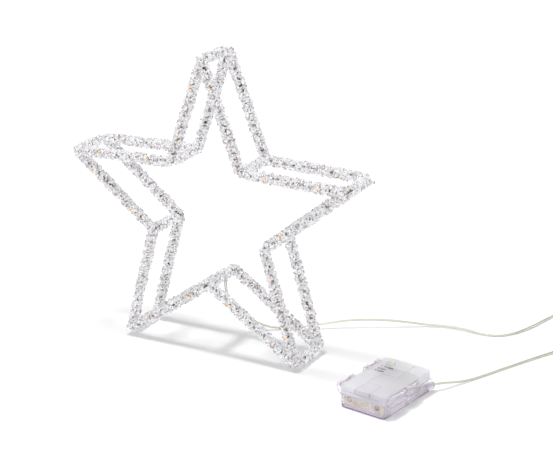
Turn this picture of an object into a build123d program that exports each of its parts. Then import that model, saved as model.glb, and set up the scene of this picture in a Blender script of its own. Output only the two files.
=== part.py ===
from build123d import *
import os
from math import cos, pi, radians, sin, tan

# Standing star light. Two wire outlines, front and back, are joined by cross rods at the ten corners.
# Each bar carries an LED string and is wound with clear acrylic curls. A lead of two strands leaves
# the bottom of the star and ends at a clear hinged box for three AA cells, with a timer board.
# Millimetres. The origin is on the floor under the star's centre: +X right, +Y back, +Z up.

# ---- Star ----
tip_radius = 152.0  # star centre to the wire's corner at the three upper tips
foot_radius = 156.0  # star centre to the two lower tips, which the star stands on
notch_radius = 63.4  # star centre to the five inner corners
waist_lift = 1.3  # the side tips and side notches sit this much above a regular star's
layer_spacing = 45.3  # front outline's wire to the back outline's wire
sleeve_diameter = 12.4  # outside of the curls on the outlines
cross_sleeve_diameter = 12.0  # outside of the curls on the cross rods
frame_wire_diameter = 3.0
corner_bulge = 0.1  # a wire is this much thicker where it is joined at a corner
cross_rod_diameter = 2.6
led_wire_diameter = 1.3
led_diameter = 2.6
led_length = 5.0
leds_per_bar = 2
seat_clearance = 0.1  # around what lies in a sleeve, and between fixed pieces in their seats
touch_gap = 0.05  # between pieces that lie on each other
part_gap = 0.3  # between pieces that move against each other, and where sleeves meet

# ---- Battery box, in its own frame: x across, y along the cells towards the cable, z up ----
box_centre = (191.2, -37.0)  # on the floor, in the star's frame
box_turn = -8.2  # degrees about Z
base_width = 46.6
box_length = 73.0
rim_height = 13.0  # floor to the parting line
box_height = 21.0
side_wall = 1.4
end_wall = 2.4
floor_thickness = 1.4
flange_reach = 1.0  # the rim's flange and the lid stand this far outside the base's long sides
flange_end_reach = 0.3  # and this far outside its ends
flange_height = 1.6
corner_radius = 3.5
lid_wall = 1.4
lid_edge_radius = 1.0
bottom_edge_radius = 1.2
gasket_width = 1.2
gasket_height = 1.0

cell_diameter = 14.5
cell_length = 50.5
cell_pitch = 14.6
cell_ridge_height = 2.4
ridge_end_gap = 2.0  # the ridges between the cells stop short of the contacts by this much
contact_thickness = 0.4
dimple_height = 1.0
spring_solid_length = 1.5  # a cell spring pressed flat
spring_free_length = 5.0
spring_wire_diameter = 0.7
spring_base_radius = 3.6
spring_taper = 10.0  # degrees
bulkhead_thickness = 1.2
contact_width = 12.0
contact_top = 12.0
contact_bottom = 3.4

hinge_axis = (-27.9, 18.4)  # x and z of both hinge pins
hinge_pairs = (-20.7, 19.1)  # y of the middle of each pin
hinge_half_span = 10.0  # middle of the pin to the middle of each ear
ear_thickness = 2.6
ear_radius = 2.5
knuckle_radius = 2.2
hinge_pin_diameter = 2.0
running_clearance = 0.05  # radial, pins and axles in their holes
fixed_clearance = 0.01  # radial, pins pressed into ears

clip_axis = (26.0, 18.4)  # x and z of both clips' axles
clip_places = ((-20.4, 20.0), (4.0, 13.2))  # y of the middle, and width
clip_thickness = 1.4
clip_barrel_radius = 1.3
clip_axle_diameter = 1.6
clip_bottom = 4.6
clip_hook_reach = 0.5  # how far the hook goes under the flange
lug_thickness = 1.4
lug_radius = 1.7

groove_x = 7.8  # the lid's two long grooves lie this far from its middle
groove_width = 0.8
groove_depth = 0.4

board_size = (35.0, 12.0, 1.2)
board_centre_x = -3.0
board_underside = 8.0
board_screw_spacing = 31.0
screw_diameter = 1.6
screw_head_diameter = 3.6
post_diameter = 4.4
button_place = (-13.0, 27.5)  # x and y of the timer button and of the switch under it
button_diameter = 9.0
button_proud = 0.4
button_flange_reach = 1.1
button_travel = 0.8
stem_diameter = 3.0
switch_size = 6.0
switch_height = 3.4
plunger_diameter = 3.5
plunger_travel = 0.25
box_wire_diameter = 1.2

# ---- Lead ----
strand_diameter = 1.3
end_run = 5.6  # straight length where a strand leaves the splice or the gland
strand_spacing = 1.9  # between the strands' centre lines at the splice and the gland
splice_y = 6.0  # the lead leaves the bottom cross bar a little behind its middle
splice_diameter = 4.6
gland_place = (25.7, 38.8, 6.5)  # middle of the gland's outer face, in the box's frame
gland_turn = 55.0  # degrees from the box's x axis
gland_diameter = 4.8
gland_length = 9.6
boss_length = 6.4
boss_proud = 1.2  # the gland stands this far out of the boss
boss_section = (7.4, 9.6)

# Route midway between the strands: x, y, z and the strands' spacing there. The ends are the splice
# and the gland. It drops from the star, rides over the floor in one long low wave, turns back past
# the right, and comes down the far side to the box.
lead_route = [
    (0.0, 7.4, 49.8, 1.9),
    (0.1, 9.9, 43.6, 1.9),
    (0.4, 15.4, 36.9, 1.9),
    (1.2, 23.8, 29.3, 1.9),
    (4.2, 31.6, 21.2, 1.9),
    (8.8, 37.4, 13.6, 1.9),
    (15.5, 42.6, 7.0, 1.9),
    (25.0, 48.6, 2.8, 1.9),
    (40.0, 57.4, 1.7, 1.8),
    (65.6, 72.7, 5.0, 1.8),
    (90.3, 89.2, 8.6, 2.1),
    (120.6, 105.4, 8.4, 2.6),
    (140.5, 117.6, 5.0, 2.4),
    (158.0, 127.6, 1.8, 1.8),
    (176.0, 133.0, 2.4, 1.9),
    (193.0, 133.8, 1.7, 2.6),
    (210.5, 132.4, 0.8, 2.2),
    (226.5, 135.2, 0.7, 2.0),
    (238.0, 147.2, 0.7, 2.5),
    (246.4, 168.0, 0.7, 3.4),
    (252.0, 191.6, 0.7, 3.0),
    (258.2, 215.6, 0.7, 2.2),
    (268.6, 235.6, 0.7, 2.0),
    (284.8, 245.4, 0.7, 2.0),
    (301.0, 239.0, 0.7, 2.0),
    (309.6, 220.6, 0.7, 2.2),
    (310.4, 195.4, 0.7, 2.6),
    (304.4, 166.0, 0.7, 2.8),
    (292.8, 135.6, 0.7, 3.2),
    (275.6, 102.4, 0.7, 2.8),
    (260.8, 70.8, 0.7, 2.0),
    (248.6, 43.8, 0.8, 1.9),
    (240.6, 27.8, 1.4, 1.9),
    (234.6, 16.2, 3.4, 1.9),
    (229.9, 7.8, 5.6, 1.9),
]

# ---- Worked out from the values above ----
sleeve_radius = sleeve_diameter / 2
star_height = foot_radius * sin(radians(54)) + sleeve_radius  # centre above the floor
led_wire_offset = (frame_wire_diameter + led_wire_diameter) / 2 + touch_gap
led_offset = led_wire_offset + (led_wire_diameter + led_diameter) / 2 + touch_gap
lid_width = base_width + 2 * flange_reach
lid_bottom = rim_height + part_gap
lid_underside = box_height - lid_wall
inner_width = base_width - 2 * side_wall
inner_length = box_length - 2 * end_wall
inner_front = -inner_length / 2
bay_length = cell_length + 2 * contact_thickness + dimple_height + spring_solid_length
bulkhead_front = inner_front + bay_length
bulkhead_back = bulkhead_front + bulkhead_thickness
board_y = (bulkhead_back + inner_length / 2) / 2
board_top = board_underside + board_size[2]
cell_z = floor_thickness + seat_clearance + cell_diameter / 2
cell_xs = (-cell_pitch, 0.0, cell_pitch)
base_side = base_width / 2
lid_side = lid_width / 2
plunger_top = board_top + switch_height + 1.6
stem_bottom = plunger_top + button_travel - plunger_travel + 2 * touch_gap
box_plane = Plane(
    origin=(*box_centre, 0),
    x_dir=(cos(radians(box_turn)), sin(radians(box_turn)), 0),
    z_dir=(0, 0, 1),
)

os.makedirs("parts", exist_ok=True)


def save(part, name):
    """Label a finished piece and write it."""
    part.label = name
    export_step(part, f"parts/{name}.step")


# ---- Star geometry ----


def star_corner(index, layer=0):
    """Corner of the outline, clockwise from the top: even ones are tips, odd ones are notches.
    layer is -1 on the front outline, 1 on the back one and 0 midway."""
    place = index % 10
    angle = radians(90 - 36 * place)
    tip = foot_radius if place in (4, 6) else tip_radius
    radius = notch_radius if place % 2 else tip
    lift = waist_lift if place in (2, 3, 7, 8) else 0
    return Vector(
        radius * cos(angle), layer * layer_spacing / 2, star_height + radius * sin(angle) + lift
    )


def set_out(point, layer, distance):
    """A point moved outwards from its outline: forwards on the front, backwards on the back."""
    return point + Vector(0, layer * distance, 0)


def round_bar(start, end, diameter, mode=Mode.ADD, bulge=0.0):
    """A straight round bar with ball ends, added to or cut from the part being built. The balls are
    thicker than the bar by bulge."""
    with BuildSketch(Plane(origin=start, z_dir=end - start)) as section:
        Circle(diameter / 2)
    extrude(section.sketch, amount=(end - start).length, mode=mode)
    with Locations(start, end):
        Sphere((diameter + bulge) / 2, mode=mode)


def rod(start, end, diameter, mode=Mode.ADD):
    """A straight round rod with flat ends."""
    with BuildSketch(Plane(origin=start, z_dir=end - start)) as section:
        Circle(diameter / 2)
    extrude(section.sketch, amount=(end - start).length, mode=mode)


def mitre_plane(index, layer):
    """The plane that halves the outline's corner, facing clockwise along the outline."""
    corner = star_corner(index, layer)
    before = (corner - star_corner(index - 1, layer)).normalized()
    after = (star_corner(index + 1, layer) - corner).normalized()
    return Plane(origin=corner, z_dir=before + after)


def led_ends(index, layer, share):
    """Both ball centres of the LED that lies a share of the way along a bar."""
    start, end = star_corner(index, layer), star_corner(index + 1, layer)
    along = (end - start).normalized() * (led_length - led_diameter) / 2
    middle = set_out(start + (end - start) * share, layer, led_offset)
    return middle - along, middle + along


led_shares = [(place + 0.5) / leds_per_bar for place in range(leds_per_bar)]

link_reach = layer_spacing / 2 + led_wire_offset
bottom_notch = star_corner(5)
notch_slope = (star_corner(4) - bottom_notch).get_angle(Vector(1, 0, 0))
link_z = bottom_notch.Z - led_wire_offset / cos(radians(notch_slope))
link_top = bottom_notch.Z - touch_gap - led_wire_diameter / 2 * (
    1 / cos(radians(notch_slope)) + tan(radians(notch_slope))
)
splice_top = link_z - led_wire_diameter / 2 - touch_gap
splice_bottom = bottom_notch.Z - cross_sleeve_diameter / 2 - part_gap - touch_gap


def cut_link_seat():
    """Room for the link wire, cut from the part being built."""
    width = led_wire_diameter + 2 * seat_clearance
    for side in (-1, 1):
        bottom = Vector(0, side * link_reach, link_z)
        round_bar(bottom, bottom + Vector(0, 0, link_top - link_z), width, Mode.SUBTRACT)
    rod(Vector(0, -link_reach, link_z), Vector(0, link_reach, link_z), width, Mode.SUBTRACT)


def make_outline_sleeve(index, layer):
    """The curls around one bar of an outline, mitred where they meet the next bars."""
    start, end = star_corner(index, layer), star_corner(index + 1, layer)
    room = 2 * seat_clearance
    with BuildPart() as sleeve:
        round_bar(start, end, sleeve_diameter)
        split(bisect_by=mitre_plane(index, layer), keep=Keep.TOP)
        split(bisect_by=mitre_plane(index + 1, layer), keep=Keep.BOTTOM)
        round_bar(start, end, frame_wire_diameter + room, Mode.SUBTRACT)
        wire_start, wire_end = (set_out(p, layer, led_wire_offset) for p in (start, end))
        round_bar(wire_start, wire_end, led_wire_diameter + room, Mode.SUBTRACT)
        for share in led_shares:
            round_bar(*led_ends(index, layer, share), led_diameter + room, Mode.SUBTRACT)
        for corner in (start, end):
            inwards = set_out(corner, layer, -sleeve_diameter)
            rod(corner, inwards, cross_rod_diameter + room, Mode.SUBTRACT)
        if index in (4, 5):
            cut_link_seat()
    return sleeve.part


def make_cross_sleeves(indexes):
    """The curls around cross rods, their ends hollowed to fit against the outlines' curls."""
    room = 2 * seat_clearance
    with BuildPart() as sleeves:
        for index in indexes:
            rod(star_corner(index, -1), star_corner(index, 1), cross_sleeve_diameter)
        for index in indexes:
            for layer in (-1, 1):
                corner = star_corner(index, layer)
                for other in (index - 1, index + 1):
                    toward = (star_corner(other, layer) - corner).normalized() * sleeve_diameter * 2
                    round_bar(corner, corner + toward, sleeve_diameter + 2 * part_gap, Mode.SUBTRACT)
            rod(star_corner(index, -1), star_corner(index, 1), cross_rod_diameter + room, Mode.SUBTRACT)
        if 5 in indexes:
            cut_link_seat()
            top = Vector(0, splice_y, link_z)
            bottom = Vector(0, splice_y, splice_bottom)
            rod(top, bottom, splice_diameter + room, Mode.SUBTRACT)
    return sleeves.part


def make_outline_loop(layer, offset, diameter):
    """A closed wire loop that follows an outline, set out from it by offset."""
    with BuildPart() as loop:
        for index in range(10):
            start, end = (set_out(star_corner(i, layer), layer, offset) for i in (index, index + 1))
            round_bar(start, end, diameter, bulge=corner_bulge)
    return loop.part


def make_cross_rods():
    """Rods between the outlines' wires, coped onto them at each corner."""
    with BuildPart() as rods:
        for index in range(10):
            rod(star_corner(index, -1), star_corner(index, 1), cross_rod_diameter)
        for index in range(10):
            for layer in (-1, 1):
                corner = star_corner(index, layer)
                for other in (index - 1, index + 1):
                    away = corner + (star_corner(other, layer) - corner).normalized() * frame_wire_diameter * 2
                    width = frame_wire_diameter + 2 * touch_gap
                    round_bar(corner, away, width, Mode.SUBTRACT, corner_bulge)
    return rods.part


def make_leds(layer):
    """All of an outline's LEDs, lying on its LED wire."""
    with BuildPart() as leds:
        for index in range(10):
            for share in led_shares:
                round_bar(*led_ends(index, layer, share), led_diameter)
    return leds.part


def make_link_wire():
    """The wire along the bottom cross rod that joins the front and back LED strings."""
    points = [
        (0, -link_reach, link_top),
        (0, -link_reach, link_z),
        (0, link_reach, link_z),
        (0, link_reach, link_top),
    ]
    with BuildPart() as link:
        with BuildLine():
            FilletPolyline(*points, radius=led_wire_diameter / 2 + seat_clearance)
        with BuildSketch(Plane(origin=points[0], z_dir=(0, 0, -1))):
            Circle(led_wire_diameter / 2)
        sweep()
    return link.part


def make_splice():
    """The heat-shrunk splice that the lead comes out of."""
    with BuildPart() as splice:
        rod(Vector(0, splice_y, splice_bottom), Vector(0, splice_y, splice_top), splice_diameter)
        fillet(splice.edges().group_by(Axis.Z)[-1], radius=strand_diameter / 4)
    return splice.part


# ---- Lead ----

gland_out = Vector(cos(radians(gland_turn)), sin(radians(gland_turn)), 0)


def in_box(x, y, z=0.0):
    """A point of the box's frame, in the star's frame."""
    return box_plane.from_local_coords(Vector(x, y, z))


def gland_point(back, side=0.0):
    """A point on the gland's axis, back from its outer face and to one side of it."""
    sideways = Vector(-gland_out.Y, gland_out.X, 0)
    return Vector(*gland_place) - gland_out * back + sideways * side


def strand_points(side):
    """One strand's route: the lead's route moved sideways, left (1) or right (-1) of its course."""
    half = strand_spacing / 2
    splice_end = Vector(-side * half, splice_y, splice_bottom)
    splice_run = splice_end - Vector(0, 0, end_run)
    gland_end = in_box(*gland_point(0, -side * half))
    gland_run = in_box(*gland_point(-end_run, -side * half))
    middle = [Vector(x, y, z) for x, y, z, _ in lead_route]
    around = [Vector(0, splice_y, splice_bottom), *middle, in_box(*gland_place)]
    points = [splice_end, splice_run]
    for place, (point, entry) in enumerate(zip(middle, lead_route), start=1):
        course = around[place + 1] - around[place - 1]
        left = Vector(-course.Y, course.X, 0).normalized()
        points.append(point + left * side * entry[3] / 2)
    return [*points, gland_run, gland_end]


def bend_radii(points):
    """The largest arc that each corner of a route has room for."""
    radii = []
    for before, corner, after in zip(points, points[1:], points[2:]):
        shorter = min((corner - before).length, (after - corner).length)
        turn = (corner - before).get_angle(after - corner)
        radii.append(0.45 * shorter / tan(radians(turn / 2)))
    return radii


def make_cord(points, diameter, name):
    """A round cord along a route of straight runs joined by arcs."""
    radii = bend_radii(points)
    with BuildPart() as cord:
        with BuildLine():
            path = FilletPolyline(*points, radius=radii)
        with BuildSketch(Plane(origin=points[0], z_dir=points[1] - points[0])):
            Circle(diameter / 2)
        sweep()
    length = path.length
    share = cord.part.volume / (pi * diameter**2 / 4 * length)
    tightest = ", ".join(f"{radius:.1f}" for radius in sorted(radii)[:4])
    print(f"{name}: {length:.0f} mm, volume {share:.4f} of section x length, tightest {tightest} mm")
    return cord.part


# ---- Battery box ----


def across(y):
    """The plane across the box at y, with the box's x as its x and up as its y. It faces the front."""
    return Plane(origin=in_box(0, y), x_dir=box_plane.x_dir, z_dir=-box_plane.y_dir)


def ring_sketch(width, length, band):
    """A rounded rectangular ring, its outer edge width by length."""
    inset = (lid_width - width) / 2
    RectangleRounded(width, length, corner_radius - inset)
    RectangleRounded(
        width - 2 * band, length - 2 * band, corner_radius - inset - band, mode=Mode.SUBTRACT
    )


gasket_inset = (flange_reach + side_wall - gasket_width) / 2  # lid's outside to the gasket
gasket_outer = (lid_width - 2 * gasket_inset, box_length - 2 * gasket_inset)


def ear_places():
    """The y of the middle of each ear."""
    return [middle + side * hinge_half_span for middle in hinge_pairs for side in (-1, 1)]


def knuckle_places():
    """The y of the middle of each lid knuckle, just inside its ear."""
    inwards = hinge_half_span - ear_thickness - part_gap
    return [middle + side * inwards for middle in hinge_pairs for side in (-1, 1)]


def lug_places():
    """The y of the middle of each clip lug."""
    outwards = part_gap + lug_thickness / 2
    return [y + side * (width / 2 + outwards) for y, width in clip_places for side in (-1, 1)]


def board_screw_places():
    """The x and y of both board screws."""
    return [(board_centre_x + side * board_screw_spacing / 2, board_y) for side in (-1, 1)]


def make_base():
    """The box's lower half: shell with a flanged rim, bulkhead, cell ridges, hinge ears, board
    posts and the boss that the lead comes through."""
    hinge_x, hinge_z = hinge_axis
    flange_bottom = rim_height - flange_height
    with BuildPart() as base:
        with BuildSketch(box_plane):
            RectangleRounded(
                base_width, box_length - 2 * flange_end_reach, corner_radius - flange_reach
            )
        extrude(amount=rim_height)
        fillet(base.edges().group_by(Axis.Z)[0], radius=bottom_edge_radius)
        with BuildSketch(box_plane.offset(flange_bottom)):
            RectangleRounded(lid_width, box_length, corner_radius)
        extrude(amount=flange_height)
        boss_start = gland_point(boss_proud + boss_length)
        boss_z = rim_height - flange_height / 2 - boss_section[1] / 2
        boss_origin = in_box(boss_start.X, boss_start.Y, boss_z)
        boss_dir = in_box(*gland_point(0)) - in_box(*gland_point(1))
        boss_x_dir = Vector(0, 0, 1).cross(boss_dir)
        with BuildSketch(Plane(origin=boss_origin, x_dir=boss_x_dir, z_dir=boss_dir)):
            RectangleRounded(*boss_section, boss_section[0] * 0.42)
        extrude(amount=boss_length)
        with BuildSketch(box_plane.offset(floor_thickness)):
            Rectangle(inner_width, inner_length)
        extrude(amount=box_height, mode=Mode.SUBTRACT)
        for y in ear_places():
            with BuildSketch(across(y)):
                with BuildLine():
                    Polyline(
                        (-base_side + side_wall / 2, flange_bottom / 2),
                        (-base_side + side_wall / 2, rim_height),
                        (hinge_x + ear_radius, rim_height),
                        (hinge_x + ear_radius, hinge_z),
                        (hinge_x - ear_radius, hinge_z),
                        (hinge_x - ear_radius, rim_height),
                        close=True,
                    )
                make_face()
                with Locations((hinge_x, hinge_z)):
                    Circle(ear_radius)
            extrude(amount=ear_thickness / 2, both=True)
            with BuildSketch(across(y)):
                with Locations((hinge_x, hinge_z)):
                    Circle(hinge_pin_diameter / 2 + fixed_clearance)
            extrude(amount=ear_thickness, both=True, mode=Mode.SUBTRACT)
        with BuildSketch(box_plane.offset(rim_height - gasket_height)):
            ring_sketch(*gasket_outer, gasket_width)
        extrude(amount=gasket_height, mode=Mode.SUBTRACT)
        add_inside_walls()
        for place in board_screw_places():
            with BuildSketch(box_plane.offset(floor_thickness)):
                with Locations(place):
                    Circle(post_diameter / 2)
            extrude(amount=board_underside - floor_thickness)
            with BuildSketch(box_plane.offset(board_underside)):
                with Locations(place):
                    Circle(screw_diameter / 2 + fixed_clearance)
            extrude(amount=-(board_underside - 2 * floor_thickness), mode=Mode.SUBTRACT)
        gland_inside, gland_mouth = in_box(*gland_point(gland_length)), in_box(*gland_place)
        rod(gland_inside, gland_mouth, gland_diameter + 2 * touch_gap, Mode.SUBTRACT)
    return base.part


def add_inside_walls():
    """The bulkhead behind the cells, and the low ridges between them."""
    with BuildSketch(box_plane.offset(floor_thickness)) as bulkhead:
        with Locations((0, (bulkhead_front + bulkhead_back) / 2)):
            Rectangle(inner_width, bulkhead_thickness)
    extrude(bulkhead.sketch, amount=rim_height - floor_thickness - part_gap)
    for x in (-cell_pitch / 2, cell_pitch / 2):
        with BuildSketch(across(inner_front + ridge_end_gap)) as ridge:
            with Locations((x, floor_thickness)):
                Triangle(c=cell_ridge_height * 1.6, a=cell_ridge_height * 1.3, b=cell_ridge_height * 1.3,
                         align=(Align.CENTER, Align.MIN))
        extrude(ridge.sketch, amount=-(bay_length - 2 * ridge_end_gap))
    for x, z in (plus_wire_place, minus_wire_place):
        rod(
            in_box(x, bulkhead_front - 1, z),
            in_box(x, bulkhead_back + 1, z),
            box_wire_diameter + 2 * seat_clearance,
            Mode.SUBTRACT,
        )


def make_lid():
    """The hinged lid, with hinge knuckles, clip lugs, the button's hole and moulded grooves."""
    hinge_x, hinge_z = hinge_axis
    clip_x, clip_z = clip_axis
    with BuildPart() as lid:
        with BuildSketch(box_plane.offset(lid_bottom)):
            RectangleRounded(lid_width, box_length, corner_radius)
        extrude(amount=box_height - lid_bottom)
        fillet(lid.edges().group_by(Axis.Z)[-1], radius=lid_edge_radius)
        for y in knuckle_places():
            with BuildSketch(across(y)):
                with Locations((hinge_x, hinge_z)):
                    Circle(knuckle_radius)
                    Rectangle(
                        lid_wall / 2 - lid_side - hinge_x, knuckle_radius * 1.2, align=(Align.MIN, Align.CENTER)
                    )
            extrude(amount=ear_thickness / 2, both=True)
        for y in lug_places():
            with BuildSketch(across(y)):
                with Locations((clip_x, clip_z)):
                    Circle(lug_radius)
                    Rectangle(
                        clip_x - lid_side + lid_wall / 2, lug_radius * 1.7, align=(Align.MAX, Align.CENTER)
                    )
            extrude(amount=lug_thickness / 2, both=True)
        with BuildSketch(box_plane.offset(lid_bottom)):
            RectangleRounded(lid_width - 2 * lid_wall, box_length - 2 * lid_wall, corner_radius - lid_wall)
        extrude(amount=lid_underside - lid_bottom, mode=Mode.SUBTRACT)
        for y in knuckle_places():
            with BuildSketch(across(y)):
                with Locations((hinge_x, hinge_z)):
                    Circle(hinge_pin_diameter / 2 + running_clearance)
            extrude(amount=ear_thickness, both=True, mode=Mode.SUBTRACT)
        for y in lug_places():
            with BuildSketch(across(y)):
                with Locations((clip_x, clip_z)):
                    Circle(clip_axle_diameter / 2 + running_clearance)
            extrude(amount=lug_thickness, both=True, mode=Mode.SUBTRACT)
        with BuildSketch(box_plane.offset(box_height)):
            with Locations(button_place):
                Circle(button_diameter / 2 + part_gap)
        extrude(amount=-2 * lid_wall, mode=Mode.SUBTRACT)
        with BuildSketch(box_plane.offset(box_height)):
            add_grooves()
        extrude(amount=-groove_depth, mode=Mode.SUBTRACT)
        for x in (-groove_x, groove_x):
            with BuildSketch(box_plane.offset(box_height)):
                with Locations((x, -box_length / 2)):
                    Rectangle(groove_width * 1.5, lid_wall)
            extrude(amount=-(box_height - lid_bottom) / 2, mode=Mode.SUBTRACT)
    return lid.part


def add_grooves():
    """The lines moulded into the lid's top: two along it, offset at a short step, and one across
    over the bulkhead."""
    step_y = 5.0
    front, back = -box_length / 2, box_length / 2
    with Locations((-groove_x, (front + step_y) / 2)):
        Rectangle(groove_width, step_y - front)
    with Locations((groove_x, (back + step_y) / 2)):
        Rectangle(groove_width, back - step_y)
    with Locations((0, step_y)):
        Rectangle(2 * groove_x + groove_width, groove_width)
    with Locations(((lid_side - groove_x) / 2, bulkhead_front - groove_width)):
        Rectangle(lid_side + groove_x - lid_edge_radius, groove_width)


def make_gasket():
    """The seal that lies in the rim's groove under the lid."""
    room = fixed_clearance
    with BuildPart() as gasket:
        with BuildSketch(box_plane.offset(rim_height - gasket_height + room)):
            ring_sketch(gasket_outer[0] - 2 * room, gasket_outer[1] - 2 * room, gasket_width - 2 * room)
        extrude(amount=gasket_height - room)
    return gasket.part


def make_hinge_pins():
    """Both hinge pins, each from the outside of one ear to the outside of its pair."""
    hinge_x, hinge_z = hinge_axis
    half = hinge_half_span + ear_thickness / 2
    with BuildPart() as pins:
        for middle in hinge_pairs:
            rod(
                in_box(hinge_x, middle - half, hinge_z),
                in_box(hinge_x, middle + half, hinge_z),
                hinge_pin_diameter,
            )
    return pins.part


def make_clip(middle, width):
    """A snap clip: barrel on the lid's lugs, plate, hook under the flange and a finger lip."""
    clip_x, clip_z = clip_axis
    inside = lid_side + 2 * part_gap
    outside = inside + clip_thickness
    hook_top = rim_height - flange_height - part_gap
    hook_tip = lid_side - clip_hook_reach
    lip_start = clip_bottom + 2 * clip_thickness
    axle_half = width / 2 + part_gap + lug_thickness - touch_gap
    with BuildPart() as clip:
        with BuildSketch(across(middle)):
            with BuildLine():
                Polyline(
                    (inside, clip_z),
                    (outside, clip_z),
                    (outside, lip_start),
                    (outside + clip_thickness, clip_bottom),
                    (inside + clip_thickness, clip_bottom),
                    (inside, lip_start),
                    (inside, hook_top - 2 * clip_thickness),
                    (hook_tip, hook_top - clip_thickness),
                    (hook_tip, hook_top),
                    (inside, hook_top),
                    close=True,
                )
            make_face()
            with Locations(clip_axis):
                Circle(clip_barrel_radius)
        extrude(amount=width / 2, both=True)
        with BuildSketch(across(middle)):
            with Locations(clip_axis):
                Circle(clip_axle_diameter / 2)
        extrude(amount=axle_half, both=True)
    return clip.part


def spring_seat_room():
    """Half the spring wire's thickness and a little more: its first coil lies on the contact."""
    return spring_wire_diameter / 2 + touch_gap


def contact_profile(xs, lug_x=None):
    """A contact plate behind one or two cells, with an optional foot for a wire, seen along y."""
    left, right = min(xs) - contact_width / 2, max(xs) + contact_width / 2
    with BuildSketch(Plane.XY) as profile:
        with Locations(((left + right) / 2, (contact_bottom + contact_top) / 2)):
            Rectangle(right - left, contact_top - contact_bottom)
        if lug_x is not None:
            foot_bottom = plus_wire_place[1] - box_wire_diameter / 2
            with Locations((lug_x, foot_bottom)):
                Rectangle(box_wire_diameter, contact_bottom, align=(Align.CENTER, Align.MIN))
    return profile.sketch


def make_contact(xs, dimple_xs, wall_y, facing, lug_x=None):
    """A contact plate on the wall at wall_y. It faces along y by facing (1 back, -1 front), and
    has a pressed dimple for each plus pole."""
    back = wall_y + facing * touch_gap
    front = back + facing * contact_thickness
    profile = across(0).location * contact_profile(xs, lug_x)
    with BuildPart() as contact:
        extrude(profile.moved(Location(in_box(0, back) - in_box(0, 0))), amount=-facing * contact_thickness)
        for x in dimple_xs:
            with BuildSketch(across(front)):
                with Locations((x, cell_z)):
                    Circle(dimple_height * 3)
            extrude(amount=-facing * dimple_height, taper=35)
    return contact.part


def make_cell_springs():
    """The conical springs that press on the cells' minus poles."""
    seat = contact_thickness + touch_gap + spring_seat_room()
    height = spring_free_length - spring_wire_diameter
    places = [
        (cell_xs[0], bulkhead_front - seat, -1),
        (cell_xs[1], inner_front + seat, 1),
        (cell_xs[2], bulkhead_front - seat, -1),
    ]
    with BuildPart() as springs:
        for x, y, facing in places:
            axis = box_plane.y_dir * facing
            with BuildLine():
                coil = Helix(
                    pitch=height / 3,
                    height=height,
                    radius=spring_base_radius,
                    center=in_box(x, y, cell_z),
                    direction=axis,
                    cone_angle=-spring_taper,
                )
            with BuildSketch(Plane(origin=coil @ 0, z_dir=coil % 0)):
                Circle(spring_wire_diameter / 2)
            sweep(path=coil, is_frenet=True)
    return springs.part


plus_wire_place = (inner_width / 2 - 1.4, floor_thickness + 0.9)  # x and z, in the corner
minus_wire_place = (cell_xs[0] + 5.1, (board_underside + board_top) / 2)


def make_box_wire(points):
    """An insulated wire inside the box."""
    route = [in_box(*point) for point in points]
    with BuildPart() as wire:
        with BuildLine():
            if len(route) > 2:
                FilletPolyline(*route, radius=box_wire_diameter)
            else:
                Line(*route)
        with BuildSketch(Plane(origin=route[0], z_dir=route[1] - route[0])):
            Circle(box_wire_diameter / 2)
        sweep()
    return wire.part


def make_circuit_board():
    """The timer board, on its two posts."""
    with BuildPart() as board:
        with BuildSketch(box_plane.offset(board_underside)):
            with Locations((board_centre_x, board_y)):
                RectangleRounded(board_size[0], board_size[1], 1.0)
            with Locations(*board_screw_places()):
                Circle(screw_diameter / 2 + seat_clearance, mode=Mode.SUBTRACT)
        extrude(amount=board_size[2])
    return board.part


def make_board_screws():
    """Pan-head screws that hold the board to its posts."""
    with BuildPart() as screws:
        for place in board_screw_places():
            with BuildSketch(box_plane.offset(board_top)):
                with Locations(place):
                    Circle(screw_head_diameter / 2)
            extrude(amount=screw_diameter * 0.7, taper=12)
            with BuildSketch(box_plane.offset(board_top)):
                with Locations(place):
                    Circle(screw_diameter / 2)
            extrude(amount=-(board_size[2] + post_diameter))
            with BuildSketch(box_plane.offset(board_top + screw_diameter * 0.7)):
                with Locations(place):
                    Rectangle(screw_head_diameter, 0.4)
                    Rectangle(0.4, screw_head_diameter)
            extrude(amount=-screw_diameter * 0.3, mode=Mode.SUBTRACT)
    return screws.part


def make_timer_chip():
    """The timer chip in its eight-legged package."""
    chip_x = board_centre_x + 3.0
    chip_size = (5.0, 4.0, 1.5)
    with BuildPart(box_plane) as chip:
        with Locations((chip_x, board_y, board_top + seat_clearance)):
            Box(*chip_size, align=(Align.CENTER, Align.CENTER, Align.MIN))
        for column in range(4):
            for side in (-1, 1):
                leg_x = chip_x + (column - 1.5) * 1.27
                with Locations((leg_x, board_y + side * (chip_size[1] / 2 + 0.4), board_top)):
                    Box(0.4, 0.9, 0.5, align=(Align.CENTER, Align.CENTER, Align.MIN))
    return chip.part


def make_board_components():
    """The board's capacitor, crystal and two resistors."""
    with BuildPart(box_plane) as components:
        with Locations((board_centre_x + 11.2 - 3.0, board_y + 2.6, board_top)):
            Cylinder(2.0, 5.0, align=(Align.CENTER, Align.CENTER, Align.MIN))
        with Locations((board_centre_x - 3.4, board_y, board_top)):
            Box(2.0, 5.6, 2.0, align=(Align.CENTER, Align.CENTER, Align.MIN))
        for row in (-1, 1):
            with Locations((board_centre_x + 8.0, board_y - 2.6 + row * 1.3, board_top)):
                Box(3.2, 1.6, 0.6, align=(Align.CENTER, Align.CENTER, Align.MIN))
    return components.part


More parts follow.
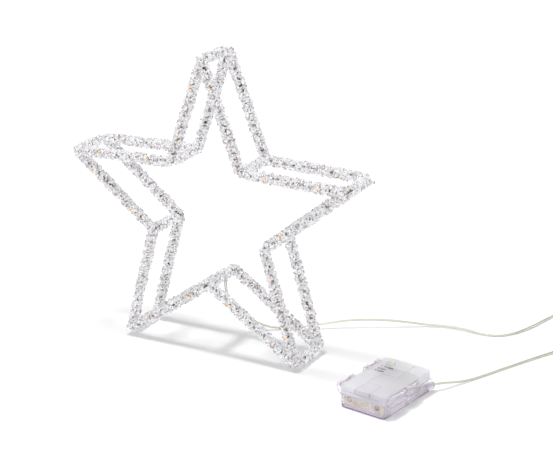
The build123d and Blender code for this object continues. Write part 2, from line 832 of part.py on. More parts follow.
def make_switch_body():
    """The push switch on the board, with the well that its plunger slides in."""
    switch_top = board_top + switch_height
    with BuildPart() as switch:
        with BuildSketch(box_plane.offset(board_top)):
            with Locations(button_place):
                Rectangle(switch_size, switch_size)
        extrude(amount=switch_height)
        with BuildSketch(box_plane.offset(switch_top)):
            with Locations(button_place):
                Circle(plunger_diameter / 2 + running_clearance)
        extrude(amount=-2.4 * 0.5, mode=Mode.SUBTRACT)
    return switch.part


def make_switch_plunger():
    """The push switch's plunger."""
    with BuildPart() as plunger:
        with BuildSketch(box_plane.offset(board_top + switch_height - 0.6)):
            with Locations(button_place):
                Circle(plunger_diameter / 2)
        extrude(amount=plunger_top - board_top - switch_height + 0.6)
        fillet(plunger.edges().group_by(Axis.Z)[-1], radius=0.3)
    return plunger.part


def make_button_cap():
    """The soft timer button in the lid: cap, flange under the lid, and stem over the switch."""
    flange_top = lid_underside - part_gap
    flange_bottom = flange_top - 1.0
    with BuildPart() as cap:
        with BuildSketch(box_plane.offset(flange_bottom)):
            with Locations(button_place):
                Circle(button_diameter / 2)
        extrude(amount=box_height + button_proud - flange_bottom)
        fillet(cap.edges().group_by(Axis.Z)[-1], radius=0.6)
        with BuildSketch(box_plane.offset(flange_bottom)):
            with Locations(button_place):
                Circle(button_diameter / 2 + button_flange_reach)
        extrude(amount=flange_top - flange_bottom)
        with BuildSketch(box_plane.offset(stem_bottom)):
            with Locations(button_place):
                Circle(stem_diameter / 2)
        extrude(amount=flange_bottom - stem_bottom)
    return cap.part


def make_gland():
    """The rubber gland around both strands where they enter the box."""
    inside, mouth = in_box(*gland_point(gland_length)), in_box(*gland_place)
    with BuildPart() as gland:
        rod(inside, mouth, gland_diameter)
    return gland.part


def lead_tail_points(side):
    """One of the strands inside the box, from the gland to the board's end."""
    board_end = board_centre_x + board_size[0] / 2
    start = gland_point(gland_length, side * strand_spacing / 2)
    ahead = gland_point(gland_length + 2.2, side * strand_spacing / 2)
    end_y = board_y + 3.2 + side * 1.2
    board_z = (board_underside + board_top) / 2
    return [
        (start.X, start.Y, start.Z),
        (ahead.X, ahead.Y, ahead.Z),
        (board_end + 1.8, end_y, board_z),
        (board_end, end_y, board_z),
    ]


def write_star():
    for layer, name in ((-1, "front"), (1, "back")):
        save(make_outline_loop(layer, 0, frame_wire_diameter), f"{name}_wire_frame")
        save(make_outline_loop(layer, led_wire_offset, led_wire_diameter), f"{name}_led_wire")
        save(make_leds(layer), f"{name}_leds")
        for index in range(10):
            save(make_outline_sleeve(index, layer), f"{name}_sleeve_{index + 1:02d}")
    save(make_cross_rods(), "cross_rods")
    save(make_cross_sleeves((0, 2, 4, 6, 8)), "tip_cross_sleeves")
    save(make_cross_sleeves((1, 3, 5, 7, 9)), "notch_cross_sleeves")
    save(make_link_wire(), "link_wire")
    save(make_splice(), "lead_splice")


def write_lead():
    for side, name in ((1, "cable_strand_a"), (-1, "cable_strand_b")):
        save(make_cord(strand_points(side), strand_diameter, name), name)


def write_box():
    save(make_base(), "box_base")
    save(make_lid(), "box_lid")
    save(make_gasket(), "lid_gasket")
    save(make_hinge_pins(), "hinge_pins")
    for (middle, width), name in zip(clip_places, ("front_clip", "rear_clip")):
        save(make_clip(middle, width), name)
    left, centre, right = cell_xs
    save(make_contact((left, centre), (left,), inner_front, 1), "front_bridge_contact")
    save(make_contact((right,), (right,), inner_front, 1, plus_wire_place[0]), "plus_contact")
    save(make_contact((centre, right), (centre,), bulkhead_front, -1), "rear_bridge_contact")
    save(make_contact((left,), (), bulkhead_front, -1), "minus_contact")
    save(make_cell_springs(), "cell_springs")


def write_electronics():
    save(make_circuit_board(), "circuit_board")
    save(make_board_screws(), "board_screws")
    save(make_timer_chip(), "timer_chip")
    save(make_board_components(), "board_components")
    save(make_switch_body(), "switch_body")
    save(make_switch_plunger(), "switch_plunger")
    save(make_button_cap(), "button_cap")
    save(make_gland(), "cable_gland")
    board_end = board_centre_x + board_size[0] / 2
    board_z = (board_underside + board_top) / 2
    wire_x, wire_z = plus_wire_place
    contact_face = inner_front + touch_gap + contact_thickness
    plus_route = [
        (wire_x, contact_face, wire_z),
        (wire_x, bulkhead_back + 3.0, wire_z),
        (board_end + 1.8, board_y - 3.0, board_z),
        (board_end, board_y - 3.0, board_z),
    ]
    save(make_box_wire(plus_route), "plus_wire")
    wire_x, wire_z = minus_wire_place
    minus_route = [
        (wire_x, bulkhead_front - touch_gap, wire_z),
        (wire_x, board_y - board_size[1] / 2, wire_z),
    ]
    save(make_box_wire(minus_route), "minus_wire")
    for side, name in ((1, "lead_tail_a"), (-1, "lead_tail_b")):
        save(make_box_wire(lead_tail_points(side)), name)


write_star()
write_lead()
write_box()
write_electronics()
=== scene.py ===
"""Standing star light with a clear battery box.

Dresses the packed model: clear curls round every bar, warm LEDs, a thin two-strand lead and a
clear hinged box for three cells. Everything is in metres, in the model's own frame: the origin is
on the floor under the star's centre, +X right, +Y back and +Z up.
"""

import random
from math import cos, pi, radians, sin

import bmesh
import bpy
from bpy.props import FloatProperty, FloatVectorProperty, IntProperty, PointerProperty
from mathutils import Matrix, Vector


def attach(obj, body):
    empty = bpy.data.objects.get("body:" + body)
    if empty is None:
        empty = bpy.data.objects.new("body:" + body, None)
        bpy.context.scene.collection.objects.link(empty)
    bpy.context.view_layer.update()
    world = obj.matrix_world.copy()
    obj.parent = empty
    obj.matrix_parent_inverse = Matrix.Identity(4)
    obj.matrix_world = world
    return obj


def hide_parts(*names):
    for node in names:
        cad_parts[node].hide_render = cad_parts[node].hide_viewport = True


bl_info = {
    "name": "Star Light",
    "version": (1, 0, 0),
    "blender": (4, 5, 0),
    "location": "View3D > Sidebar > Star Light",
    "description": "Dresses the star light model with curls, LEDs, lead, clear box and stage",
    "category": "Add Mesh",
}

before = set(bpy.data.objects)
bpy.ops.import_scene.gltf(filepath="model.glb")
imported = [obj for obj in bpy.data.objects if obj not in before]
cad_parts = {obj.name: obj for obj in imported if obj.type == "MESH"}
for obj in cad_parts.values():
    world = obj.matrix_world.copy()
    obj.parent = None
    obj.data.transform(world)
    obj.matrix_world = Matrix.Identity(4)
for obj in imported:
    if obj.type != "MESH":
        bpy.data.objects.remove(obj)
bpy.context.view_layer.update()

STAR_BODY = "light"
LID_BODY = "lid"
CORNERS = 10


def shade(red, green, blue):
    """A display colour, 0 to 255, as the linear colour that materials take."""
    return tuple(
        (v / 255 / 12.92) if v <= 10 else ((v / 255 + 0.055) / 1.055) ** 2.4
        for v in (red, green, blue)
    )


def darker(tint, share):
    """A colour with a share of its brightness."""
    return tuple(v * share for v in tint)


# ---- Settings ----


def length(name, default, description):
    """A length setting, in metres."""
    return FloatProperty(
        name=name, description=description, default=default, min=0.0, precision=5, unit="LENGTH"
    )


def angle(name, degrees, description):
    """An angle setting, with its default in degrees."""
    return FloatProperty(
        name=name, description=description, default=radians(degrees), subtype="ANGLE"
    )


def colour(name, default, description):
    """A colour setting."""
    return FloatVectorProperty(
        name=name, description=description, default=default, subtype="COLOR", size=3, min=0, max=1
    )


class StarSettings(bpy.types.PropertyGroup):
    """Sizes of the star and its curls."""

    tip_radius: length("Tip Radius", 0.152, "Star centre to the wire's upper tips")
    foot_radius: length("Foot Radius", 0.156, "Star centre to the wire's lower tips")
    notch_radius: length("Notch Radius", 0.0634, "Star centre to the wire's inner corners")
    waist_lift: length("Waist Lift", 0.0013, "How far the side tips and side notches are raised")
    layer_spacing: length("Layer Spacing", 0.0453, "Front outline's wire to the back one's")
    sleeve_radius: length("Sleeve Radius", 0.0062, "Outside of the curls round a bar")
    cross_sleeve_radius: length(
        "Cross Sleeve Radius", 0.006, "Outside of the curls round a cross rod"
    )
    led_offset: length("LED Offset", 0.0042, "Outline wire's middle to the LEDs' middles")
    chip_radius: length("Chip Radius", 0.0008, "Radius of the lit chip in an LED")
    filament: length("Filament", 0.0016, "Thickness of the clear filament")
    loop_radius: length("Loop Radius", 0.0021, "Radius of one curl")
    loop_depth: FloatProperty(
        name="Loop Depth",
        description="Share of a curl's radius by which it dips inwards",
        default=0.38,
    )
    loop_pitch: length("Loop Pitch", 0.0007, "Distance along the bar from one curl to the next")
    loop_points: IntProperty(
        name="Loop Points", description="Control points in one curl", default=7, min=4, max=16
    )


class LeadSettings(bpy.types.PropertyGroup):
    """Sizes of the lead."""

    strand: length("Strand", 0.0013, "Thickness of one strand")
    spacing: length("Spacing", 0.0019, "Distance between the strands where they are held")
    end_run: length("End Run", 0.0056, "Straight length at the splice and at the gland")


class BoxSettings(bpy.types.PropertyGroup):
    """Sizes of the battery box."""

    width: length("Width", 0.0466, "Base across the cells")
    length: length("Length", 0.073, "Base along the cells")
    corner: length("Corner", 0.0035, "Radius of the base's corners")
    edge_line: length("Edge Line", 0.0009, "Thickness of the tinted line along the bottom edge")
    groove_line: length("Groove Line", 0.0006, "Thickness of the lines in the lid's grooves")
    cell_pitch: length("Cell Pitch", 0.0146, "Middle of one cell to the middle of the next")
    cell_height: length("Cell Height", 0.00875, "Floor to the cells' middles")
    contact_y: FloatProperty(
        name="Contact Place",
        description="Middle of the front contacts, along the box",
        default=-0.03385,
        unit="LENGTH",
    )
    # The dark ring drawn at this radius is painted shade round the dimple.
    dimple: length("Dimple", 0.0021, "Radius of a dimple's rim")


class ColourSettings(bpy.types.PropertyGroup):
    """Main colours."""

    curls: colour("Curls", shade(206, 206, 209), "Clear curls")
    curl_shadow: colour("Curl Shadow", shade(84, 84, 94), "Shaded places in the curls")
    curl_glints: colour("Curl Glints", shade(160, 118, 62), "Warm glints beside the wires")
    curl_wires: colour("Curl Wires", shade(104, 62, 12), "Wires behind the curls")
    glow: colour("Glow", shade(255, 178, 62), "Warm LEDs")
    lead: colour("Lead", shade(226, 227, 210), "Insulation of the lead")
    case: colour("Case", shade(247, 243, 249), "Clear plastic of the box's base and clips")
    lid: colour("Lid", shade(247, 247, 249), "Frosted plastic of the box's lid")
    case_line: colour("Case Line", shade(158, 124, 180), "The line along the case's bottom edge")
    case_edge: colour("Case Edge", shade(204, 188, 214), "Plastic of the case's thick bottom")
    floor: colour("Floor", shade(221, 221, 222), "Floor")


class StageSettings(bpy.types.PropertyGroup):
    """Camera and lights."""

    azimuth: angle("Azimuth", 30.2, "Camera's direction round the star")
    elevation: angle("Elevation", 20.09, "Camera's height above the horizon")
    roll: angle("Roll", -1.03, "Camera's turn about its own line of sight")
    distance: length("Distance", 1.481, "Camera to the point it looks at")
    lens: FloatProperty(name="Lens", description="Focal length in millimetres", default=104.9)


# ---- Star ----

# The corners that are feet, and those that are raised a little, counted from the top.
FEET = (4, 6)
WAIST = (2, 3, 7, 8)
FOOT_ANGLE = radians(54)  # how far a foot lies below the level of the star's centre
LED_SHARES = (0.25, 0.75)  # places of a bar's LEDs, as shares of its length

FILAMENTS = 2  # wound round each bar
FEWEST_CURLS = 4
# What each curl draws from: its size and its place as shares, its lean, and the turn from the last.
CURL_SIZES = (0.7, 1.15)
CURL_PLACES = (0.2, 0.8)
CURL_LEANS = (-0.6, 0.6)
CURL_TURNS = (0.7, 2.3)
CURL_TWIST = 2.1  # how far a curl's lean turns the place where it dips


def star_height(settings):
    """Height of the star's centre above the floor."""
    return settings.foot_radius * sin(FOOT_ANGLE) + settings.sleeve_radius


def star_corner(settings, index, layer):
    """Corner of an outline, clockwise from the top. layer is -1 on the front and 1 on the back."""
    place = index % CORNERS
    turn = pi / 2 - place * pi / 5
    tip = settings.foot_radius if place in FEET else settings.tip_radius
    radius = settings.notch_radius if place % 2 else tip
    lift = settings.waist_lift if place in WAIST else 0.0
    depth = layer * settings.layer_spacing / 2
    return Vector((radius * cos(turn), depth, star_height(settings) + radius * sin(turn) + lift))


# ---- Materials ----

# The Mix node's sockets for colours, which share their names with those for numbers.
MIX_COLOURS = (6, 7)
MIX_RESULT = 2
THICK_TO_THIN = (0.0014, 0.002)  # heights over which the case's tint changes


def map_range(tree, source, low, high, start=0.0, end=1.0):
    """A node that maps a value from start..end onto low..high."""
    node = tree.nodes.new("ShaderNodeMapRange")
    values = {"From Min": start, "From Max": end, "To Min": low, "To Max": high}
    for name, value in values.items():
        node.inputs[name].default_value = value
    tree.links.new(source, node.inputs["Value"])
    return node


class Finish:
    """A procedural material, built from one shader and the noises that vary it."""

    def __init__(self, name):
        self.material = bpy.data.materials.new(name)
        self.material.use_nodes = True
        self.nodes = self.material.node_tree.nodes
        self.shader = self.nodes["Principled BSDF"]
        self.place = self.nodes.new("ShaderNodeTexCoord").outputs["Object"]

    def link(self, source, target):
        self.material.node_tree.links.new(source, target)

    def set(self, **values):
        """Sets the shader's own sockets: underscores in a name stand for spaces."""
        for name, value in values.items():
            self.shader.inputs[name.replace("_", " ")].default_value = value
        return self

    def noise(self, scale, detail=3.0):
        node = self.nodes.new("ShaderNodeTexNoise")
        node.inputs["Scale"].default_value = scale
        node.inputs["Detail"].default_value = detail
        self.link(self.place, node.inputs["Vector"])
        return node.outputs["Fac"]

    def lines(self, scale, direction, distortion):
        node = self.nodes.new("ShaderNodeTexWave")
        node.bands_direction = direction
        node.inputs["Scale"].default_value = scale
        node.inputs["Distortion"].default_value = distortion
        self.link(self.place, node.inputs["Vector"])
        return node.outputs["Fac"]

    def spread(self, source, low, high, start=0.3, end=0.7):
        """Maps a value from start..end onto low..high."""
        tree = self.material.node_tree
        return map_range(tree, source, low, high, start, end).outputs["Result"]

    def ramp(self, source, *stops):
        """Maps a value onto colours. Each stop is a position and a colour."""
        node = self.nodes.new("ShaderNodeValToRGB")
        elements = node.color_ramp.elements
        while len(elements) < len(stops):
            elements.new(0.5)
        for element, (position, value) in zip(elements, stops):
            element.position = position
            element.color = (*value, 1)
        self.link(source, node.inputs["Fac"])
        return node.outputs["Color"]

    def colour(self, source, *stops):
        self.link(self.ramp(source, *stops), self.shader.inputs["Base Color"])
        return self

    def drive(self, name, source, low, high, start=0.3, end=0.7):
        """Lets a value vary one of the shader's sockets."""
        self.link(self.spread(source, low, high, start, end), self.shader.inputs[name])
        return self

    def bump(self, source, depth, strength=0.5):
        node = self.nodes.new("ShaderNodeBump")
        node.inputs["Strength"].default_value = strength
        node.inputs["Distance"].default_value = depth
        self.link(source, node.inputs["Height"])
        self.link(node.outputs["Normal"], self.shader.inputs["Normal"])
        return self

    def upward(self):
        """How far the surface faces up: 1 on top, 0 on a wall and -1 underneath."""
        node = self.nodes.new("ShaderNodeSeparateXYZ")
        self.link(self.nodes.new("ShaderNodeNewGeometry").outputs["Normal"], node.inputs["Vector"])
        return node.outputs["Z"]

    def height(self):
        """Height on the piece, in metres."""
        node = self.nodes.new("ShaderNodeSeparateXYZ")
        self.link(self.place, node.inputs["Vector"])
        return node.outputs["Z"]


def curl_acrylic(colours):
    """Bright clear filament, with small brown places where the wires behind it show, painted grey
    shade, painted warm glints and painted near-white highlights.
    Its emission is a painted glow, and its upper sides are painted darker as shade from the light
    above."""
    finish = Finish("curl_acrylic").set(
        Roughness=0.02,
        IOR=1.5,
        Transmission_Weight=0.3,
        # The emission is a painted glow: the curls are no lamp.
        Emission_Color=(0.98, 0.97, 0.98, 1),
        Emission_Strength=0.235,
    )
    # Painted light among the specks: grey painted shade (curl_shadow), painted warm glints
    # (curl_glints) and a painted near-white highlight (the last stop); the brown is the wires
    # behind.
    specks = finish.ramp(
        finish.noise(400.0, 2.0),
        (0.31, colours.curl_wires),
        (0.34, colours.curl_glints),
        (0.37, colours.curl_shadow),
        (0.42, colours.curls),
        (0.62, shade(243, 243, 247)),
    )
    # Painted shade: the colour is scaled down towards 0.55 where the surface faces up, standing in
    # for how the light from above falls.
    painted_top_shade = finish.nodes.new("ShaderNodeVectorMath")
    painted_top_shade.operation = "SCALE"
    finish.link(specks, painted_top_shade.inputs[0])
    finish.link(finish.spread(finish.upward(), 1.0, 0.55, 0.0, 1.0), painted_top_shade.inputs["Scale"])
    finish.link(painted_top_shade.outputs["Vector"], finish.shader.inputs["Base Color"])
    return finish.bump(finish.noise(700.0), 0.0004).material


def coated_wire(name, light, dark):
    """Thinly coated steel wire, with darker worn places."""
    finish = Finish(name).set(IOR=1.5)
    scuffs = finish.noise(300.0)
    finish.colour(scuffs, (0.42, dark), (0.5, light)).drive("Roughness", scuffs, 0.28, 0.5)
    return finish.bump(finish.noise(1400.0), 0.00005).material


def led_resin():
    """Clear resin of an LED's lens."""
    finish = Finish("led_resin").set(Roughness=0.08, IOR=1.45, Transmission_Weight=1.0, Alpha=0.6)
    finish.colour(finish.noise(300.0), (0.3, shade(255, 246, 224)), (0.7, shade(255, 252, 244)))
    return finish.material


def glowing_chip(colours):
    """The lit chip in an LED's lens."""
    finish = Finish("glowing_chip").set(
        Roughness=0.4, Emission_Color=(*colours.glow, 1), Emission_Strength=1.0
    )
    finish.colour(finish.noise(300.0), (0.3, colours.glow), (0.7, shade(255, 206, 120)))
    return finish.material


def lead_insulation(colours):
    """Clear insulation over fine stranded copper."""
    finish = Finish("lead_insulation").set(Roughness=0.22, IOR=1.5, Alpha=0.85)
    twist = finish.lines(160.0, "DIAGONAL", 4.0)
    finish.colour(twist, (0.2, darker(colours.lead, 0.85)), (0.8, colours.lead))
    return finish.bump(finish.noise(700.0), 0.00005).material


def clear_case(name, thin, thick, clearness, roughness, alpha, glow=0.05):
    """Clear moulded plastic, more strongly tinted in its thick bottom edge. Its emission is a
    painted glow.
    """
    finish = Finish(name).set(
        Roughness=roughness,
        IOR=1.3,
        Transmission_Weight=clearness,
        Alpha=alpha,
        # Painted light: the emission gives the plastic a faint glow of its own.
        Emission_Color=(*thin, 1),
        Emission_Strength=glow,
    )
    haze = finish.noise(60.0, 4.0)
    blend = finish.nodes.new("ShaderNodeMix")
    blend.data_type = "RGBA"
    finish.link(finish.spread(finish.height(), 0.0, 1.0, *THICK_TO_THIN), blend.inputs["Factor"])
    for place, tint in zip(MIX_COLOURS, (thick, thin)):
        tinted = finish.ramp(haze, (0.3, darker(tint, 0.96)), (0.7, tint))
        finish.link(tinted, blend.inputs[place])
    finish.link(blend.outputs[MIX_RESULT], finish.shader.inputs["Base Color"])
    return finish.bump(haze, 0.0004, 0.08).material


def line_plastic(name, light, dark, roughness, alpha=1.0):
    """Plastic of the thin lines that mark edges, grooves and panels."""
    finish = Finish(name).set(Roughness=roughness, Alpha=alpha)
    return finish.colour(finish.noise(90.0), (0.3, dark), (0.7, light)).material


def rubber(name, light, dark, alpha=1.0):
    """Soft moulded rubber with a fine matt skin."""
    finish = Finish(name).set(IOR=1.42, Alpha=alpha)
    skin = finish.noise(800.0, 6.0)
    finish.colour(skin, (0.35, dark), (0.65, light)).drive("Roughness", skin, 0.42, 0.62)
    return finish.bump(skin, 0.00008).material


def brushed_metal(name, light, dark, scale):
    """Bare or plated metal with fine drawn lines."""
    finish = Finish(name).set(Metallic=1.0)
    grain = finish.lines(scale, "X", 9.0)
    stains = finish.noise(120.0, 5.0)
    finish.colour(stains, (0.35, dark), (0.6, light))
    finish.drive("Roughness", grain, 0.22, 0.42, 0.0, 1.0)
    return finish.bump(grain, 0.00003, 0.3).material


def moulded_plastic(name, light, dark):
    """Opaque moulded plastic."""
    finish = Finish(name).set(IOR=1.5)
    skin = finish.noise(500.0, 5.0)
    finish.colour(skin, (0.35, dark), (0.65, light)).drive("Roughness", skin, 0.3, 0.5)
    return finish.bump(skin, 0.00006).material


def board_finish():
    """Solder mask over fine tracks."""
    finish = Finish("board_mask").set(Roughness=0.3, IOR=1.5)
    tracks = finish.lines(150.0, "Y", 7.0)
    mask, copper = shade(208, 216, 204), shade(190, 202, 186)
    finish.colour(tracks, (0.42, mask), (0.5, copper), (0.58, mask))
    return finish.bump(tracks, 0.00005, 0.3).material


def dress(node, material):
    """Gives a CAD node its material."""
    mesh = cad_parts[node].data
    mesh.materials.clear()
    mesh.materials.append(material)


# ---- Curves ----


def make_curve(name, strands, radius, sides, material):
    """A round-section curve whose splines are smooth through their control points."""
    curve = bpy.data.curves.new(name, "CURVE")
    curve.dimensions = "3D"
    curve.bevel_depth = radius
    curve.bevel_resolution = sides
    curve.use_fill_caps = True
    for points in strands:
        spline = curve.splines.new("NURBS")
        spline.points.add(len(points) - 1)
        for target, point in zip(spline.points, points):
            target.co = (*point, 1)
        spline.order_u = 3
        spline.use_endpoint_u = True
        spline.resolution_u = 2
    curve.materials.append(material)
    thing = bpy.data.objects.new(name, curve)
    bpy.context.collection.objects.link(thing)
    return thing


def curl_strand(start, end, outer, settings, seed, turn):
    """One filament that loops round the line from start to end, lying between it and outer."""
    dice = random.Random(seed)
    axis = end - start
    span = axis.length
    lengthwise = axis.normalized()
    side = lengthwise.orthogonal().normalized()
    upward = lengthwise.cross(side)
    filament = settings.filament / 2
    swing = settings.loop_radius * settings.loop_depth
    middle = outer - filament - swing
    points = []
    count = max(FEWEST_CURLS, round(span / (FILAMENTS * settings.loop_pitch)))
    for loop in range(count):
        size = settings.loop_radius * dice.uniform(*CURL_SIZES)
        lean = dice.uniform(*CURL_LEANS)
        centre = span * (loop + dice.uniform(*CURL_PLACES)) / count
        turn += dice.uniform(*CURL_TURNS)
        first = dice.uniform(0, 2 * pi)
        for step in range(settings.loop_points):
            phase = first + 2 * pi * step / settings.loop_points
            along = centre + size * cos(phase)
            around = turn + (size * sin(phase) + lean * size * cos(phase)) / middle
            depth = middle + swing * sin(phase + CURL_TWIST * lean)
            across = side * depth * cos(around)
            points.append(start + lengthwise * along + across + upward * depth * sin(around))
    return points


# ---- Lead and battery box ----

# Route of the lead midway between its strands: x, y, z and the strands' spacing there.
LEAD_ROUTE = (
    (0.0, 0.0074, 0.0498, 0.0019),
    (0.0001, 0.0099, 0.0436, 0.0019),
    (0.0004, 0.0154, 0.0369, 0.0019),
    (0.0012, 0.0238, 0.0293, 0.0019),
    (0.0042, 0.0316, 0.0212, 0.0019),
    (0.0088, 0.0374, 0.0136, 0.0019),
    (0.0155, 0.0426, 0.007, 0.0019),
    (0.025, 0.0486, 0.0028, 0.0019),
    (0.04, 0.0574, 0.0017, 0.0018),
    (0.0656, 0.0727, 0.005, 0.0018),
    (0.0903, 0.0892, 0.0086, 0.0021),
    (0.1206, 0.1054, 0.0084, 0.0026),
    (0.1405, 0.1176, 0.005, 0.0024),
    (0.158, 0.1276, 0.0018, 0.0018),
    (0.176, 0.133, 0.0024, 0.0019),
    (0.193, 0.1338, 0.0017, 0.0026),
    (0.2105, 0.1324, 0.0008, 0.0022),
    (0.2265, 0.1352, 0.0007, 0.002),
    (0.238, 0.1472, 0.0007, 0.0025),
    (0.2464, 0.168, 0.0007, 0.0034),
    (0.252, 0.1916, 0.0007, 0.003),
    (0.2582, 0.2156, 0.0007, 0.0022),
    (0.2686, 0.2356, 0.0007, 0.002),
    (0.2848, 0.2454, 0.0007, 0.002),
    (0.301, 0.239, 0.0007, 0.002),
    (0.3096, 0.2206, 0.0007, 0.0022),
    (0.3104, 0.1954, 0.0007, 0.0026),
    (0.3044, 0.166, 0.0007, 0.0028),
    (0.2928, 0.1356, 0.0007, 0.0032),
    (0.2756, 0.1024, 0.0007, 0.0028),
    (0.2608, 0.0708, 0.0007, 0.002),
    (0.2486, 0.0438, 0.0008, 0.0019),
    (0.2406, 0.0278, 0.0014, 0.0019),
    (0.2346, 0.0162, 0.0034, 0.0019),
    (0.2299, 0.0078, 0.0056, 0.0019),
)
SPLICE_END = Vector((0.0, 0.006, 0.06266))  # where the lead leaves the star
BOX_CENTRE = Vector((0.1912, -0.037, 0.0))
BOX_TURN = radians(-8.2)

# From here on, places are in the battery box's own frame.
GLAND_PLACE = Vector((0.0257, 0.0388, 0.0065))
GLAND_TURN = radians(55.0)
EDGE_BOTTOM = 0.0009  # height of the line along the base's bottom edge
EDGE_TOP = 0.0115  # top of the upright line at the base's front left corner
EDGE_INSET = 0.0008  # of the upright line from both sides of that corner

# Body, middle and width of each clip, and the panel outlined on its outside.
CLIPS = (("front_clip", -0.0204, 0.02), ("rear_clip", 0.004, 0.0132))
PANEL_FACE = 0.0263
PANEL_BOTTOM = 0.0096
PANEL_TOP = 0.0152
PANEL_REACH = 0.4  # from the clip's middle to the panel's sides, as a share of the clip's width

# Painted shade: darker lines in the lid's grooves and its two front notches, and a darker line
# along its front skirt.
GROOVE_X = 0.0078
GROOVE_Z = 0.0208
GROOVE_FRONT = -0.018
GROOVE_BACK = 0.005
NOTCH_Y = -0.0366
NOTCH_BOTTOM = 0.0175
GROOVES = (
    (
        (-GROOVE_X, NOTCH_Y, NOTCH_BOTTOM),
        (-GROOVE_X, -0.0362, GROOVE_Z),
        (-GROOVE_X, -0.035, GROOVE_Z),
        (-GROOVE_X, GROOVE_BACK, GROOVE_Z),
    ),
    ((GROOVE_X, NOTCH_Y, NOTCH_BOTTOM), (GROOVE_X, NOTCH_Y, 0.0203)),
    ((GROOVE_X, -0.0352, GROOVE_Z), (GROOVE_X, GROOVE_FRONT, GROOVE_Z)),
    ((-GROOVE_X, GROOVE_FRONT, GROOVE_Z), (GROOVE_X, GROOVE_FRONT, GROOVE_Z)),
    ((-GROOVE_X, GROOVE_BACK, GROOVE_Z), (GROOVE_X, GROOVE_BACK, GROOVE_Z)),
    ((GROOVE_X, GROOVE_BACK, GROOVE_Z), (GROOVE_X, 0.0355, GROOVE_Z)),
    ((-0.0074, 0.0183, GROOVE_Z), (0.0228, 0.0183, GROOVE_Z)),
    ((-0.0195, -0.0365, 0.0168), (0.0185, -0.0365, 0.0168)),
)

# Dark rings of painted shade round the dimples, and the dark bar in the right-hand one: its ends
# from the cells' middles.
RIM_SIDES = 12
RIM_RADIUS = 0.00045
RIM_BAR = (-0.003, 0.0005)

# The words beside the button, where the first of them starts, and the step forward to the next.
WORDS = ("1 TIMER", "2 ON", "3 OFF")
WORDS_X = -0.0172
WORDS_Y = 0.0163
WORDS_Z = 0.0211
WORDS_STEP = 0.005
LETTER_SIZE = 0.0038
LETTER_RELIEF = 0.0001

ARC_STEPS = 4  # straight runs in a rounded corner


def in_box(x, y, z):
    """A point of the battery box's own frame, in the model's frame."""
    return BOX_CENTRE + Matrix.Rotation(BOX_TURN, 3, "Z") @ Vector((x, y, z))


def ring_points(reach_x, reach_y, corner, z):
    """A closed rounded rectangle round the box's middle, in the model's frame."""
    points = []
    for quarter, (side_x, side_y) in enumerate(((1, 1), (-1, 1), (-1, -1), (1, -1))):
        for step in range(ARC_STEPS + 1):
            turn = (quarter + step / ARC_STEPS) * pi / 2
            points.append(
                in_box(
                    side_x * (reach_x - corner) + corner * cos(turn),
                    side_y * (reach_y - corner) + corner * sin(turn),
                    z,
                )
            )
    return [*points, points[0]]


def strand_route(lead, side):
    """One strand's control points: the lead's route moved left (1) or right (-1) of its course."""
    half = lead.spacing / 2
    outward = Vector((cos(GLAND_TURN), sin(GLAND_TURN), 0))
    sideways = Vector((-outward.y, outward.x, 0)) * -side * half
    gland_end = in_box(*(GLAND_PLACE + sideways))
    gland_run = in_box(*(GLAND_PLACE + sideways + outward * lead.end_run))
    splice_end = SPLICE_END + Vector((-side * half, 0, 0))
    around = [SPLICE_END, *(Vector(entry[:3]) for entry in LEAD_ROUTE), in_box(*GLAND_PLACE)]
    points = [splice_end, splice_end - Vector((0, 0, lead.end_run))]
    for place, entry in enumerate(LEAD_ROUTE, start=1):
        course = around[place + 1] - around[place - 1]
        left = Vector((-course.y, course.x, 0)).normalized()
        points.append(around[place] + left * side * entry[3] / 2)
    return [*points, gland_run, gland_end]


# ---- Stage ----

# What the camera looks at, from the star's centre: how far to its right and how far below it.
VIEW_SHIFT = 0.0606
VIEW_DROP = 0.012

# Name, place, width and power of each lamp, and the point that they all face.
LAMPS = (
    ("key_lamp", Vector((-0.17, -0.05, 1.45)), 0.3, 18.0),
    ("side_lamp", Vector((1.1, -1.3, 1.0)), 0.9, 3.2),
)
LAMP_TARGET = Vector((0.05, 0.0, 0.1))

FLOOR_REACH = 6.0
# Brightness of the floor as it is seen, near the star and far off, and the distances of the two.
FLOOR_GLOW = (0.2, 0.75)
FLOOR_FADE = (0.3, 1.6)

# Brightness of the sky as it is seen, low down and high up, and how far up those two lie.
SKY_GLOW = (0.6, 1.15)
SKY_RISE = (0.0, 0.75)
SKY_LIGHT = 0.52  # the light that the sky gives the model, the same from all sides


# ---- Operators ----


def settings_of(context):
    scene = context.scene
    return scene.star_sizes, scene.star_lead, scene.star_colours, scene.star_stage


